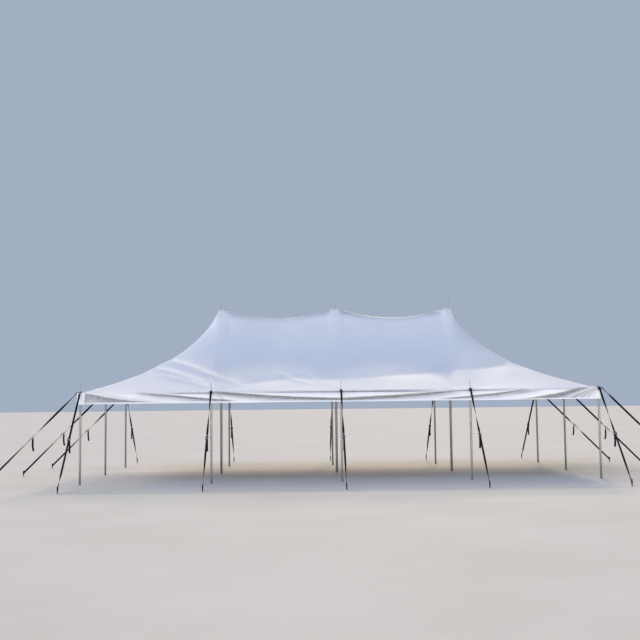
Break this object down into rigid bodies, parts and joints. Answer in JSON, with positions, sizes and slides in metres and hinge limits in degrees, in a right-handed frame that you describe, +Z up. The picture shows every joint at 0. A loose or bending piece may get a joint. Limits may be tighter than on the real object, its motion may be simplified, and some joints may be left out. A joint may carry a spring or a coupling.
{
  "type": "pole tent",
  "caption": "Marquee pole tent: a peaked white top with a hanging valance, raised on centre poles and side poles and held out by ratchet straps to ground stakes.",
  "frame": {"origin": "on the ground under the middle centre pole, at the centre of the tent's plan", "axes": "+X along the ridge towards the right-hand end as seen from the front, +Y from the front to the back, +Z up"},
  "size_m": [16.498, 10.402, 4.5353],
  "materials": {
    "white_vinyl": "satin coated vinyl",
    "grey_tube": "dull mill-finish tube",
    "black_webbing": "woven polyester webbing with zinc-plated ratchet hardware",
    "stake_steel": "dark forged steel"
  },
  "bodies": {
    "root": {"canopy_panel_front_1": "white_vinyl", "canopy_panel_front_2": "white_vinyl", "canopy_panel_front_3": "white_vinyl", "canopy_panel_front_4": "white_vinyl", "canopy_panel_back_1": "white_vinyl", "canopy_panel_back_2": "white_vinyl", "canopy_panel_back_3": "white_vinyl", "canopy_panel_back_4": "white_vinyl", "valance_front": "white_vinyl", "valance_back": "white_vinyl", "valance_left": "white_vinyl", "valance_right": "white_vinyl", "side_pole_front_left_corner": "grey_tube", "side_pole_back_left_corner": "grey_tube", "side_pole_front_2": "grey_tube", "side_pole_back_2": "grey_tube", "side_pole_front_3": "grey_tube", "side_pole_back_3": "grey_tube", "side_pole_front_4": "grey_tube", "side_pole_back_4": "grey_tube", "side_pole_front_right_corner": "grey_tube", "side_pole_back_right_corner": "grey_tube", "side_pole_left_middle": "grey_tube", "side_pole_right_middle": "grey_tube", "centre_pole_1": "grey_tube", "centre_pole_2": "grey_tube", "centre_pole_3": "grey_tube", "guy_strap_front_left_corner": "black_webbing", "stake_front_left_corner": "stake_steel", "guy_strap_front_left_corner_end": "black_webbing", "stake_front_left_corner_end": "stake_steel", "guy_strap_back_left_corner": "black_webbing", "stake_back_left_corner": "stake_steel", "guy_strap_back_left_corner_end": "black_webbing", "stake_back_left_corner_end": "stake_steel", "guy_strap_front_2": "black_webbing", "stake_front_2": "stake_steel", "guy_strap_back_2": "black_webbing", "stake_back_2": "stake_steel", "guy_strap_front_3": "black_webbing", "stake_front_3": "stake_steel", "guy_strap_back_3": "black_webbing", "stake_back_3": "stake_steel", "guy_strap_front_4": "black_webbing", "stake_front_4": "stake_steel", "guy_strap_back_4": "black_webbing", "stake_back_4": "stake_steel", "guy_strap_front_right_corner": "black_webbing", "stake_front_right_corner": "stake_steel", "guy_strap_front_right_corner_end": "black_webbing", "stake_front_right_corner_end": "stake_steel", "guy_strap_back_right_corner": "black_webbing", "stake_back_right_corner": "stake_steel", "guy_strap_back_right_corner_end": "black_webbing", "stake_back_right_corner_end": "stake_steel", "guy_strap_left_middle": "black_webbing", "stake_left_middle": "stake_steel", "guy_strap_right_middle": "black_webbing", "stake_right_middle": "stake_steel"}
  },
  "joints": []
}
